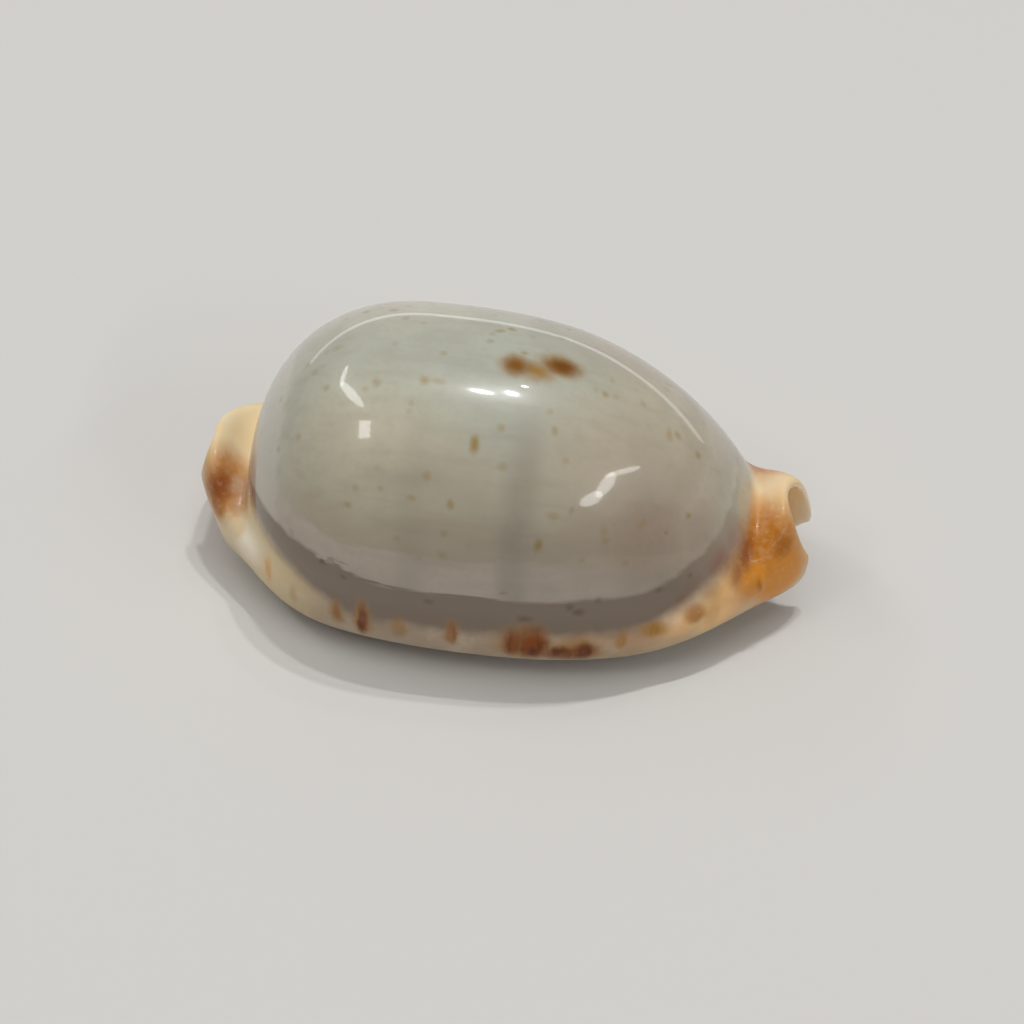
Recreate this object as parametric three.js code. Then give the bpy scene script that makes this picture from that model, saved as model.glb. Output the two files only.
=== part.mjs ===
// A cowrie shell in one piece, in millimetres, +Z up, lying on its base.
// +X points to the anterior end, -Y to the outer lip, +Y to the columella and +Z to the domed back.
//
// The wall is one closed sheet. Every point of it is reached from an axis that runs along the hollow:
// a station says how far along X, and an angle says which way round, with 0 straight up and +Y positive.
// The outer face lies where the body formula is 0, the inner face where it is the depth of the wall,
// and the two run together in a rounded edge at both lips of the slit and at both end rims.
import * as THREE from "three";
import { ParametricGeometry } from "three/addons/geometries/ParametricGeometry.js";

const { clamp, lerp, radToDeg } = THREE.MathUtils;

// Overall size: the two end rims along X, the widest half and the height of the back.
const POSTERIOR_RIM = -14.15;
const ANTERIOR_RIM = 14;
const HALF_WIDTH = 7.65;
const HEIGHT = 12.95;

// Dome, the rounded back. Powers shape each end of a curve: along the shell, then across it.
const DOME_ENDS = [-11.85, 12.15];
const DOME_MIDDLE_Z = 5.25;
const DOME_LOW_Z = -2;
const DOME_FLOOR_Z = 0.9;
const DOME_WIDEST = { lip: -0.95, columella: -4 };
const DOME_CROWN_X = -3;
const DOME_WIDTH_CURVE = { ends: DOME_ENDS, posterior: [2.74, 2.44], anterior: [2.36, 2] };
const DOME_CREST_CURVE = { ends: DOME_ENDS, posterior: [2.9, 2.6], anterior: [2.27, 1.56] };

// Callus, the low rim that runs round the base and out into the two end canals.
const CALLUS_HALF_WIDTH = HALF_WIDTH + 0.02;
const CALLUS_Z = { middle: 2.45, top: 4.1, low: -0.2 };
const CALLUS_WIDEST = { lip: 0.55, columella: -2.5 };
const CALLUS_CURVE = { ends: [-14.4, 15], posterior: [2.3, 1.9], anterior: [2.24, 1.23] };
const CALLUS_POWER = { above: 2.2, below: 3 };
const CANAL_MIDDLE_Z = 3;
const POSTERIOR_CANAL = { roof: 4.3, under: 1, rise: 1.5 };
const ANTERIOR_CANAL = { roof: 5.15, under: 0.8, rise: 0.85, flare: 0.2 };
const CREASE_BLEND = 1.5;

// Axis of the hollow, over the slit.
const AXIS_Z = { middle: 4.4, end: 3.4 };
const AXIS_Y = { middle: -0.7, posterior: 0.7, anterior: 0.2 };

// Rims of the canals: the notch over the anterior canal, the lobes beside it and their corners.
const ANTERIOR_NOTCH = { depth: 1, lipSide: 52, columellaSide: 36 };
const LIP_LOBE = { length: 0.32, angle: -115, spread: 48 };
const COLUMELLA_LOBE = { length: 0.3, angle: 95, spread: 45 };
const POSTERIOR_NOTCH = 0.45;
const CORNER = { posterior: 1.6, lip: 0.45, columella: 1 };

// Wall, slit and teeth.
const WALL = 1;
const BASE_WALL = 1.9;
const WHORL_WALL = 2.6;
const CANAL_WALL = { posterior: 0.75, anterior: 0.45 };
const THINNEST = 0.3;
const RIM_ROUND = { posterior: 0.95, anterior: 0.45 };
const LIP_ROUND = 1.1;
const LIP_Z = 1.1;
const SLIT_HALF = { posterior: 0.5, widening: 0.25, mouth: 0.7 };
const TEETH = 15;
const TEETH_ENDS = [-10.6, 12.2];
const TOOTH_DEPTH = 0.32;
const TOOTH_BITE = 0.11;
const TOOTH_REACH = { lip: [2.6, 0.6], columella: [1.7, 0.4] };

// Mesh rows along the shell and columns over one face.
const FLANGE_ROWS = 6;
const STEEP_ROWS = 5;
const ROWS_PER_TOOTH = 4;
const SPOUT_ROWS = 6;
const COLUMNS = 30;
const LIP_CROWDING = 0.35;
const SEARCH_STEPS = 30;

function ease(from, to, x) {
  const t = clamp((x - from) / (to - from), 0, 1);
  return t * t * (3 - 2 * t);
}

// A bell of height 1 at the middle, of the given spread to either side.
function bell(offset, spread) {
  return Math.exp(-Math.pow(offset / spread, 2));
}

function axisAt(x) {
  const back = ease(-4, -13.5, x);
  const front = ease(2, 13.5, x);
  const y = lerp(lerp(AXIS_Y.middle, AXIS_Y.posterior, back), AXIS_Y.anterior, front);
  const z = lerp(AXIS_Z.middle, AXIS_Z.end, back + front);
  return { y, z };
}

// How full an oval is at a station, from 1 at its widest to 0 at its end, as a superellipse.
function fullness(x, widest, curve) {
  const [start, stop] = curve.ends;
  const t = x < widest ? (widest - x) / (widest - start) : (x - widest) / (stop - widest);
  const [along, across] = x < widest ? curve.posterior : curve.anterior;
  const left = Math.max(1 - Math.pow(clamp(t, 0, 1), along), 1e-9);
  return Math.pow(left, 1 / across);
}

// The two sides of the shell are widest at different stations.
function sidedFullness(x, y, widest, curve) {
  const lip = fullness(x, widest.lip, curve);
  const columella = fullness(x, widest.columella, curve);
  return lerp(lip, columella, ease(-4, 4, y));
}

// Above 0 inside the dome, falling through 0 at its surface.
function dome(x, y, z) {
  const width = HALF_WIDTH * sidedFullness(x, y, DOME_WIDEST, DOME_WIDTH_CURVE);
  const crest = fullness(x, DOME_CROWN_X, DOME_CREST_CURVE);
  const middle = axisAt(x).z + (DOME_MIDDLE_Z - AXIS_Z.middle) * crest;
  const up = (HEIGHT - DOME_MIDDLE_Z) * crest;
  const down = (DOME_MIDDLE_Z - DOME_LOW_Z) * crest;
  const out = Math.hypot(y / width, (z - middle) / (z > middle ? up : down));
  const past = Math.max(x - DOME_ENDS[1], DOME_ENDS[0] - x, 0);
  return Math.min((1 - out) * Math.min(width, up), z - DOME_FLOOR_Z) - 3 * past;
}

// Above 0 inside the callus and the canals.
function callus(x, y, z) {
  const back = ease(-7, -12.5, x);
  const front = ease(6, 12.5, x);
  const canal = Math.max(back, front);
  const side = Math.abs(y - axisAt(x).y * canal);
  const full = sidedFullness(x, y - axisAt(x).y * canal, CALLUS_WIDEST, CALLUS_CURVE);
  const width = CALLUS_HALF_WIDTH * full + ANTERIOR_CANAL.flare * ease(12, 14, x);
  const middle = lerp(CALLUS_Z.middle, CANAL_MIDDLE_Z, canal);
  const backTop = (POSTERIOR_CANAL.roof - CALLUS_Z.top) * back + POSTERIOR_CANAL.rise * ease(-11.8, -14, x);
  const frontTop = (ANTERIOR_CANAL.roof - CALLUS_Z.top) * front + ANTERIOR_CANAL.rise * ease(11, 13, x);
  const top = CALLUS_Z.top + backTop + frontTop;
  const backLow = (POSTERIOR_CANAL.under - CALLUS_Z.low) * back;
  const frontLow = (ANTERIOR_CANAL.under - CALLUS_Z.low) * front;
  const low = CALLUS_Z.low + backLow + frontLow;
  const power = z > middle ? CALLUS_POWER.above : CALLUS_POWER.below;
  const rise = Math.abs(z - middle) / (z > middle ? top - middle : middle - low);
  const out = Math.pow(Math.pow(side / width, power) + Math.pow(rise, power), 1 / power);
  return (1 - out) * (top - low) / 2;
}

// Dome and callus joined, with a soft fillet in the crease between them.
function body(x, y, z) {
  const a = dome(x, y, z);
  const b = callus(x, y, z);
  const near = Math.max(CREASE_BLEND - Math.abs(a - b), 0) / CREASE_BLEND;
  return Math.max(a, b) + Math.pow(near, 3) * CREASE_BLEND / 6;
}

// Distance from the axis, along an angle, at which the body is as deep as given.
function reach(x, angle, depth) {
  const { y, z } = axisAt(x);
  let near = 0.05;
  let far = 14;
  for (let step = 0; step < SEARCH_STEPS; step++) {
    const r = (near + far) / 2;
    const inside = body(x, y + r * Math.sin(angle), z + r * Math.cos(angle)) > depth;
    if (inside) near = r;
    else far = r;
  }
  return (near + far) / 2;
}

// Stations from the posterior rim to the anterior rim, crowded at the rims and the steep end of the dome.
const ROWS = FLANGE_ROWS + STEEP_ROWS + ROWS_PER_TOOTH * TEETH + SPOUT_ROWS;

function stationAt(row) {
  const steep = FLANGE_ROWS + STEEP_ROWS;
  const spout = steep + ROWS_PER_TOOTH * TEETH;
  if (row < FLANGE_ROWS) {
    return lerp(POSTERIOR_RIM, DOME_ENDS[0], (1 - Math.cos(Math.PI * row / FLANGE_ROWS)) / 2);
  }
  if (row < steep) {
    return lerp(DOME_ENDS[0], TEETH_ENDS[0], Math.pow((row - FLANGE_ROWS) / STEEP_ROWS, 2));
  }
  if (row < spout) {
    return lerp(TEETH_ENDS[0], TEETH_ENDS[1], (row - steep) / (ROWS_PER_TOOTH * TEETH));
  }
  return lerp(TEETH_ENDS[1], ANTERIOR_RIM, Math.sin(Math.PI / 2 * (row - spout) / SPOUT_ROWS));
}

// The rims are not square to X: notched over the canals, with lobes beside them, and cut back to the slit.
function alongRim(x, angle) {
  const deg = radToDeg(angle);
  const notchSpread = deg < 0 ? ANTERIOR_NOTCH.lipSide : ANTERIOR_NOTCH.columellaSide;
  const notch = ANTERIOR_NOTCH.depth * bell(deg, notchSpread);
  const lipLobe = LIP_LOBE.length * bell(deg - LIP_LOBE.angle, LIP_LOBE.spread);
  const columellaLobe = COLUMELLA_LOBE.length * bell(deg - COLUMELLA_LOBE.angle, COLUMELLA_LOBE.spread);
  const corners = CORNER.lip * ease(-135, -170, deg) + CORNER.columella * ease(112, 155, deg);
  const front = lipLobe + columellaLobe - notch - corners;
  const back = POSTERIOR_NOTCH * ease(-75, 0, deg) + CORNER.posterior * ease(70, 145, Math.abs(deg));
  return x + front * ease(10.6, 14, x) + back * ease(-11.7, -14, x);
}

// A quarter round: 0 at an edge, 1 once a radius away from it.
function quarterRound(distance, radius) {
  const q = 1 - clamp(distance / radius, 0, 1);
  return Math.sqrt(1 - q * q);
}

// Grooves between the teeth, 1 at the bottom of a groove. The two lips have theirs half a step apart.
function grooveAt(x, angle) {
  const [start, stop] = TEETH_ENDS;
  const turn = 2 * Math.PI * TEETH * (x - start) / (stop - start);
  const within = ease(start, start + 1, x) * ease(stop, stop - 1, x);
  const wave = angle < 0 ? 0.5 - 0.5 * Math.cos(turn) : 0.5 + 0.5 * Math.cos(turn);
  return wave * within;
}

function wallDepth(x, angle) {
  const under = ease(100, 140, Math.abs(radToDeg(angle)));
  const base = angle > 0 ? WHORL_WALL : BASE_WALL;
  const canal = Math.max(ease(-10, -12.5, x), ease(10, 12.8, x));
  const canalWall = x < 0 ? CANAL_WALL.posterior : CANAL_WALL.anterior;
  return lerp(lerp(WALL, base, under), canalWall, canal);
}

function shellPoint(u, v, target) {
  const station = stationAt(v * ROWS);
  const outer = u < 0.5;
  const s = Math.abs(1 - 2 * u);
  const crowded = s - LIP_CROWDING * Math.sin(2 * Math.PI * s) / (2 * Math.PI);

  // Angle round the axis, held off the slit, and bitten back where a groove runs out over a lip.
  const mouth = ease(11.5, 14, station) + ease(-11.5, -14, station);
  const slit = SLIT_HALF.posterior + SLIT_HALF.widening * ease(2, 12, station) + SLIT_HALF.mouth * mouth;
  const edge = Math.atan2(slit, axisAt(station).z - LIP_Z);
  const plain = lerp(edge - Math.PI, Math.PI - edge, crowded);
  const groove = grooveAt(station, plain);
  const bite = TOOTH_BITE * groove;
  const angle = plain - Math.sign(plain) * bite * ease(0.7, 0, Math.PI - Math.abs(plain) - edge);

  const x = alongRim(station, angle);
  const axis = axisAt(x);
  const outside = reach(x, angle, 0);
  const inside = Math.min(reach(x, angle, wallDepth(x, angle)), outside - THINNEST);
  const middle = (outside + inside) / 2;
  const fromLip = (Math.PI - Math.abs(angle) - edge - bite) * middle;
  const posteriorRound = quarterRound(station - POSTERIOR_RIM, RIM_ROUND.posterior);
  const anteriorRound = quarterRound(ANTERIOR_RIM - station, RIM_ROUND.anterior);
  const swell = quarterRound(fromLip, LIP_ROUND) * posteriorRound * anteriorRound;
  const [fades, full] = angle < 0 ? TOOTH_REACH.lip : TOOTH_REACH.columella;
  const cut = outer ? TOOTH_DEPTH * groove * ease(fades, full, fromLip) : 0;
  const r = middle + ((outer ? outside : inside) - middle - cut) * swell;

  const y = axis.y + r * Math.sin(angle);
  const z = axis.z + r * Math.cos(angle);
  return target.set(x, y, outer ? Math.max(z, 0) : z);
}

const geometry = new ParametricGeometry(shellPoint, 2 * COLUMNS, ROWS);
geometry.computeBoundingBox();
const box = geometry.boundingBox;
const centre = box.getCenter(new THREE.Vector3());
geometry.translate(-centre.x, -centre.y, -box.min.z);

const glaze = new THREE.MeshStandardMaterial({ color: 0xb2b3a8, roughness: 0.15, metalness: 0 });
const shell = new THREE.Mesh(geometry, glaze);
shell.name = "shell";

const part = new THREE.Group();
part.name = "cowrie";
part.add(shell);

export default part;
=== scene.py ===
"""A glazed cowrie shell as one closed surface, with its colours, on a plain pale floor."""

import math
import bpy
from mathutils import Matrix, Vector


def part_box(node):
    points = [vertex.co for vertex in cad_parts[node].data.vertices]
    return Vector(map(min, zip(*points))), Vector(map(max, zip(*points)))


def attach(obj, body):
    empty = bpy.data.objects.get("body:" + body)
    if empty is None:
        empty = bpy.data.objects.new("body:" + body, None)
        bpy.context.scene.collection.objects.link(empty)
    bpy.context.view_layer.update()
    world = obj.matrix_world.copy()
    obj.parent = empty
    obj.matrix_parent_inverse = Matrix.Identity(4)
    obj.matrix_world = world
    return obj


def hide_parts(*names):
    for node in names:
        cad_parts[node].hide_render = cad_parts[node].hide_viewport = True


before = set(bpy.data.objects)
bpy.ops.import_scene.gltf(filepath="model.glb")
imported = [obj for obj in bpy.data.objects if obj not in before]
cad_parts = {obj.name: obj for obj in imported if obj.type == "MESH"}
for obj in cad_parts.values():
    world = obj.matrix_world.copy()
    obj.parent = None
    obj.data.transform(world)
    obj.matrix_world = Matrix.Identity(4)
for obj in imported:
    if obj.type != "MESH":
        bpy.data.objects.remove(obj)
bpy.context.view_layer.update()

from types import SimpleNamespace

import bpy
import numpy as np
from bpy.props import FloatProperty, FloatVectorProperty, IntProperty, PointerProperty
from mathutils import Matrix, Vector

bl_info = {
    "name": "Cowrie Shell",
    "version": (1, 0, 0),
    "blender": (4, 5, 0),
    "location": "3D View > Sidebar > Cowrie",
    "description": "Builds a glazed cowrie shell with its markings, and a plain studio stage for it",
    "category": "Mesh",
}

MM = 0.001

# Lengths from here to the properties are in millimetres. +X points to the anterior end, -Y to the outer
# lip, +Y to the columella and +Z to the domed back. Angles run round the axis of the hollow from 0,
# straight up, and are positive towards +Y.

# Ends of the shell, and of its domed back. Powers shape a curve's end: along the shell, then across it.
# A pair of stations or angles gives where a form starts to ease in, and where it is full.
POSTERIOR_RIM = -14.15
ANTERIOR_RIM = 14.0
DOME_ENDS = (-11.85, 12.15)
DOME_MIDDLE_Z = 5.25
DOME_LOW_Z = -2.0
DOME_FLOOR_Z = 0.9
DOME_WIDEST = SimpleNamespace(lip=-0.95, columella=-4.0)
DOME_CROWN_X = -3.0
DOME_WIDTH_CURVE = SimpleNamespace(ends=DOME_ENDS, posterior=(2.74, 2.44), anterior=(2.36, 2.0))
DOME_CREST_CURVE = SimpleNamespace(ends=DOME_ENDS, posterior=(2.9, 2.6), anterior=(2.27, 1.56))
DOME_DROP = 3.0
LIP_TO_COLUMELLA = (-4.0, 4.0)

# Callus, the low rim that runs round the base and out into the two end canals.
CALLUS_PROUD = 0.02
CALLUS_Z = SimpleNamespace(middle=2.45, top=4.1, low=-0.2)
CALLUS_WIDEST = SimpleNamespace(lip=0.55, columella=-2.5)
CALLUS_CURVE = SimpleNamespace(ends=(-14.4, 15.0), posterior=(2.3, 1.9), anterior=(2.24, 1.23))
CALLUS_POWER = SimpleNamespace(above=2.2, below=3.0)
CANAL_START = SimpleNamespace(posterior=(-7.0, -12.5), anterior=(6.0, 12.5))
CANAL_RISE = SimpleNamespace(posterior=(-11.8, -14.0), anterior=(11.0, 13.0))
CANAL_FLARE = (12.0, 14.0)
CANAL_MIDDLE_Z = 3.0
POSTERIOR_CANAL = SimpleNamespace(roof=4.3, under=1.0, rise=1.5)
ANTERIOR_CANAL = SimpleNamespace(roof=5.15, under=0.8, rise=0.85, flare=0.2)

# Axis of the hollow, over the slit.
AXIS_Z = SimpleNamespace(middle=4.4, end=3.4)
AXIS_Y = SimpleNamespace(middle=-0.7, posterior=0.7, anterior=0.2)
AXIS_BEND = SimpleNamespace(posterior=(-4.0, -13.5), anterior=(2.0, 13.5))

# Rims of the canals: the notch over the anterior canal, the lobes beside it and their corners.
ANTERIOR_NOTCH = SimpleNamespace(depth=1.0, lip_side=52.0, columella_side=36.0)
LIP_LOBE = SimpleNamespace(length=0.32, angle=-115.0, spread=48.0)
COLUMELLA_LOBE = SimpleNamespace(length=0.3, angle=95.0, spread=45.0)
POSTERIOR_NOTCH = SimpleNamespace(depth=0.45, angles=(-75.0, 0.0))
CORNER = SimpleNamespace(posterior=1.6, lip=0.45, columella=1.0)
CORNER_ANGLES = SimpleNamespace(posterior=(70.0, 145.0), lip=(-135.0, -170.0), columella=(112.0, 155.0))
RIM_REACH = SimpleNamespace(posterior=(-11.7, -14.0), anterior=(10.6, 14.0))

# Wall, slit and teeth.
CANAL_WALL = SimpleNamespace(posterior=0.75, anterior=0.45)
CANAL_THINNING = SimpleNamespace(posterior=(-10.0, -12.5), anterior=(10.0, 12.8))
BASE_ANGLES = (100.0, 140.0)
THINNEST = 0.3
RIM_ROUND = SimpleNamespace(posterior=0.95, anterior=0.45)
LIP_ROUND = 1.1
LIP_Z = 1.1
SLIT_WIDENING = SimpleNamespace(width=0.25, stations=(2.0, 12.0))
SLIT_MOUTH = SimpleNamespace(width=0.7, posterior=(-11.5, -14.0), anterior=(11.5, 14.0))
TEETH_ENDS = (-10.6, 12.2)
TEETH_FADE = 1.0
TOOTH_BITE = SimpleNamespace(angle=0.11, reach=0.7)
TOOTH_REACH = SimpleNamespace(lip=(2.6, 0.6), columella=(1.7, 0.4))

# Grid rows along the shell before the detail factor, and how far the columns crowd towards the lips.
FLANGE_ROWS = 6
STEEP_ROWS = 5
ROWS_PER_TOOTH = 4
SPOUT_ROWS = 6
LIP_CROWDING = 0.35

# Nearest and farthest place that a face is searched from the axis, and how often the range is halved.
SEARCH_RANGE = (0.05, 14.0)
SEARCH_STEPS = 34

# Markings: station along X, angle round the axis, half length along X, half length around, strength.
BACK_BLOTCH = [
    (0.3, 2, 0.75, 0.62, 0.75),
    (2.3, 6, 1.0, 0.62, 1.0),
]
BACK_SPECKS = [
    (0.6, 8, 0.2, 0.18, 0.45),
    (-0.7, 17, 0.28, 0.2, 0.55),
    (-0.2, 19, 0.26, 0.2, 0.65),
    (-5.7, -10, 0.24, 0.32, 0.35),
    (-3.6, -8, 0.34, 0.28, 0.6),
    (-3.1, -8, 0.5, 0.18, 0.35),
    (-1.1, -27, 0.27, 0.5, 0.8),
    (2.3, -19, 0.22, 0.28, 0.45),
    (0.0, -21, 0.24, 0.28, 0.35),
    (0.2, -33, 0.3, 0.26, 0.35),
    (4.3, 0, 0.22, 0.26, 0.45),
    (4.5, 8, 0.2, 0.26, 0.25),
    (7.3, -6, 0.24, 0.42, 0.4),
    (7.7, -4, 0.2, 0.32, 0.45),
    (8.7, -9, 0.22, 0.26, 0.5),
    (2.1, -58, 0.25, 0.4, 0.7),
    (3.4, -45, 0.2, 0.2, 0.3),
    (8.5, -42, 0.22, 0.2, 0.6),
    (7.6, -50, 0.17, 0.17, 0.55),
    (9.6, -58, 0.2, 0.2, 0.4),
    (-8.7, -6, 0.25, 0.25, 0.25),
    (-7.8, 4, 0.36, 0.26, 0.25),
    (-7.8, 23, 0.26, 0.2, 0.25),
    (-6.4, -51, 0.25, 0.2, 0.4),
    (-5.0, -44, 0.2, 0.2, 0.3),
    (-3.0, -38, 0.24, 0.26, 0.4),
    (-1.9, -47, 0.2, 0.24, 0.55),
    (-3.6, -46, 0.25, 0.2, 0.35),
    (-2.1, -65, 0.25, 0.25, 0.3),
    (4.9, -51, 0.25, 0.36, 0.3),
    (6.5, -47, 0.36, 0.26, 0.35),
    (2.6, -47, 0.36, 0.2, 0.3),
]
FOOT_SPECKS = [
    (-10.3, -74, 0.18, 0.18, 0.45),
    (-7.5, -77, 0.24, 0.2, 0.7),
    (-6.5, -82, 0.2, 0.2, 0.55),
    (-2.6, -88, 0.3, 0.26, 0.45),
    (0.7, -79, 0.3, 0.16, 0.3),
    (1.7, -93, 0.42, 0.3, 0.65),
    (3.7, -85, 0.28, 0.32, 0.6),
    (4.1, -88, 0.32, 0.3, 0.75),
    (4.9, -81, 0.24, 0.2, 0.5),
    (7.6, -77, 0.24, 0.18, 0.45),
    (8.9, -71, 0.18, 0.18, 0.35),
]
CALLUS_BROWN = [
    (-6.8, -102, 0.24, 0.6, 0.45),
    (-5.6, -104, 0.26, 1.2, 0.95),
    (-1.5, -103, 0.26, 0.7, 0.45),
    (1.3, -105, 0.5, 0.95, 0.9),
    (2.2, -105, 0.8, 1.1, 1.0),
    (3.5, -109, 1.2, 0.6, 0.85),
    (4.4, -108, 0.8, 0.7, 0.9),
]
CALLUS_GOLD = [
    (-8.9, -100, 0.24, 0.6, 0.35),
    (-6.8, -103, 0.42, 0.9, 0.8),
    (-5.6, -104, 0.48, 1.4, 0.9),
    (-3.9, -104, 0.4, 0.8, 0.6),
    (-1.5, -103, 0.42, 0.9, 0.75),
    (1.8, -105, 1.4, 1.3, 0.9),
    (4.0, -108, 1.4, 1.1, 0.9),
    (6.1, -102, 0.3, 0.65, 0.75),
    (7.6, -98, 0.8, 0.5, 0.9),
    (10.1, -97, 0.4, 1.0, 0.3),
    (-11.9, -89, 0.4, 0.45, 0.3),
]
END_ORANGE = [
    (12.2, -61, 2.3, 2.45, 1.0),
    (9.3, -93, 0.6, 0.6, 0.75),
    (-12.8, -60, 1.5, 1.9, 0.85),
    (-13.0, -80, 0.7, 0.9, 0.9),
    (12.3, 76, 1.9, 2.2, 0.9),
    (-12.6, 108, 1.4, 1.7, 0.75),
]
END_APRICOT = [
    (10.9, -92, 2.2, 1.8, 0.7),
    (7.8, -100, 4.6, 1.8, 0.35),
    (10.9, 100, 2.4, 2.0, 0.7),
    (12.8, -14, 1.8, 2.4, 0.25),
    (11.6, -20, 0.9, 1.3, 0.6),
    (-10.2, -95, 0.22, 0.8, 0.7),
]
# Lighter orange under the anterior end: the end's own orange, lightened in part as painted light where the
# underside faces down.
END_LIT_AMBER = [
    (13.1, -98, 1.8, 1.9, 1.0),
    (12.1, -87, 1.3, 1.1, 0.9),
    (13.0, 108, 1.6, 1.6, 0.8),
]
END_PEACH = [
    (10.4, -99, 2.0, 1.1, 0.95),
    (11.0, -89, 1.0, 1.1, 0.6),
    (8.8, -97, 1.8, 0.9, 0.75),
    (10.6, 104, 2.0, 1.1, 0.7),
]
END_BROWN = [
    (11.3, -65, 0.5, 1.1, 0.75),
    (11.0, -78, 0.4, 0.8, 0.55),
    (12.95, -60, 0.55, 0.7, 0.45),
    (10.6, -67, 0.55, 0.9, 0.45),
    (9.9, -83, 0.7, 0.6, 0.3),
    (-13.0, -65, 0.8, 1.05, 0.9),
    (-12.2, -69, 0.6, 0.8, 0.5),
    (-12.0, -80, 0.6, 0.9, 0.4),
    (11.2, 76, 0.8, 1.6, 0.6),
    (-12.7, 106, 0.85, 1.0, 0.75),
]
CALLUS_LILAC = [
    (-11.3, -92, 1.2, 1.1, 1.0),
    (-12.2, -67, 0.45, 0.65, 0.25),
    (8.2, -94, 0.8, 0.6, 0.3),
]
BACK_STAIN = [
    (0.3, 2, 0.85, 0.78, 1.0),
    (2.2, 6, 1.25, 0.85, 1.0),
    (1.2, 1.5, 1.2, 0.75, 0.9),
]
BACK_BLUSH = [
    (5.4, -32, 4.4, 4.6, 0.4),
    (6.8, -52, 2.8, 2.4, 1.0),
    (9.0, -49, 1.6, 2.0, 0.55),
    (4.0, 40, 4.4, 4.6, 0.4),
]
# These pale warm patches are painted light, a soft sheen where the back faces the lamps.
BACK_PAINTED_SHEEN = [
    (-5.4, -34, 4.6, 4.6, 0.55),
    (4.6, -22, 3.4, 3.6, 0.45),
    (6.6, -8, 3.6, 4.0, 0.4),
    (-5.0, 36, 4.4, 4.4, 0.35),
    (11.0, -13, 0.7, 2.0, 0.95),
]
FOOT_RUST = [
    (10.3, -69, 1.2, 1.1, 0.6),
    (10.8, -56, 0.8, 1.3, 0.42),
    (9.2, -78, 1.2, 0.8, 0.25),
    (8.9, -86, 0.9, 0.6, 0.45),
    (10.2, 72, 1.3, 1.1, 0.4),
]
BACK_DUSK = [
    (8.0, -66, 3.0, 3.0, 1.0),
    (5.4, -56, 2.8, 2.8, 0.6),
    (-2.4, -40, 2.4, 2.4, 0.45),
    (-2.4, -59, 2.0, 1.6, 0.85),
    (7.6, 64, 3.0, 3.0, 0.5),
]

# Markings fade out up to this share of their halves, and wander aside by soft noise: waves per millimetre
# and detail, then how far.
MARK_EDGE = 1.3
MARK_NOISE = (1.6, 3.0)
MARK_WANDER = (0.35, 0.35, 0.35)

# The columella side is seeded with specks and rim spots like those of the lip side.
SEED = 11
FAR_SPECKS = SimpleNamespace(
    count=26,
    stations=(-9.5, 9.5),
    angles=(24.0, 80.0),
    halves=(0.17, 0.3),
    strengths=(0.25, 0.65),
)
FAR_SPOTS = SimpleNamespace(
    count=11,
    stations=(-10.0, 9.5),
    angles=(94.0, 110.0),
    along=(0.2, 1.1),
    around=(0.4, 1.2),
    strengths=(0.3, 1.0),
)

# Colour zones follow the margin, a field of 0 at the crease to the callus and about -11.5 on the crown,
# and the station. A pair gives where a zone starts and where it is full, and two more numbers its share
# at these two where they aren't 0 and 1. The low ramp lists its colours, margins and stations behind.
FLANK = SimpleNamespace(margins=(-11.4, -7.8), stations=(-10.5, -6.0, 0.35, 1.0))
# In the low ramp the mauve band low on the back is a painted reflection of the lit floor.
LOW_RAMP = [("dusk", (-7.4, -5.4), (-10.6, -8.0)), ("floor_reflection", (-4.8, -4.0), (-13.0, -11.0))]
LOW_RAMP_FRONT = (10.6, 8.0)
# The foot is painted shade, the dark reflection of the shaded floor next to the shell. It climbs towards
# the crease at the posterior end.
FOOT_SHADE = SimpleNamespace(margins=(-2.2, -1.8), front=(12.4, 8.0))
FOOT_SHADE_CLIMB = SimpleNamespace(start=(-4.5, -7.5, 0.0, 0.85), stop=(-12.2, -10.6))
# The pale end is a painted reflection of the lit floor round the posterior end of the back.
END_REFLECTION = (-9.7, -10.2, 0.0, 0.6)
CREAM_ENDS = (6.5, 10.5)
PALE_BASE = (9.5, 12.0, 0.85, 0.15)
PALE_BASE_ANGLES = (108.0, 128.0)
TOOTH_STAIN = 0.7

# Edge of the callus: margins where it starts and is full, how far these two drop towards either end, and
# the distances from the middle over which they do.
CALLUS_EDGE = (0.0, 0.7)
POSTERIOR_DROP = (2.0, 1.3)
ANTERIOR_DROP = (1.1, 0.6)
DROP_RANGE = (5.5, 11.0)

# Noise about 0 that moves the edges of zones, with waves per millimetre along X, Y and Z, and how far it
# moves each edge: long tears, finer slivers on the middle of the foot, and the ragged edge of the callus.
# The torn zones are the painted reflections and the painted shade of the foot.
TEARS = SimpleNamespace(waves=(0.2, 1.5, 1.5), low_ramp=1.6, foot=0.5, pale_end=0.6)
SLIVERS = SimpleNamespace(waves=(0.22, 2.6, 2.6), low_ramp=1.2, foot=1.9, fades=[(-9.0, -7.0), (3.0, 0.5)])
RAGGED = SimpleNamespace(waves=(0.8, 0.8, 0.8), detail=4.0, callus=0.8, foot=0.24)

# Faint cross bands on the back: where along X, half width, strength. Then the full part of a half width,
# how the bands sway, and how far from the middle plane they start and are full.
CROSS_BANDS = [(1.1, 1.2, 0.4), (-3.6, 1.1, 0.12), (6.2, 1.1, 0.08)]
BAND_CORE = 0.1
BAND_SWAY = SimpleNamespace(waves=(0.2, 0.2, 0.2), detail=2.0, reach=1.2)
BAND_SIDES = (1.0, 5.0)

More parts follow.
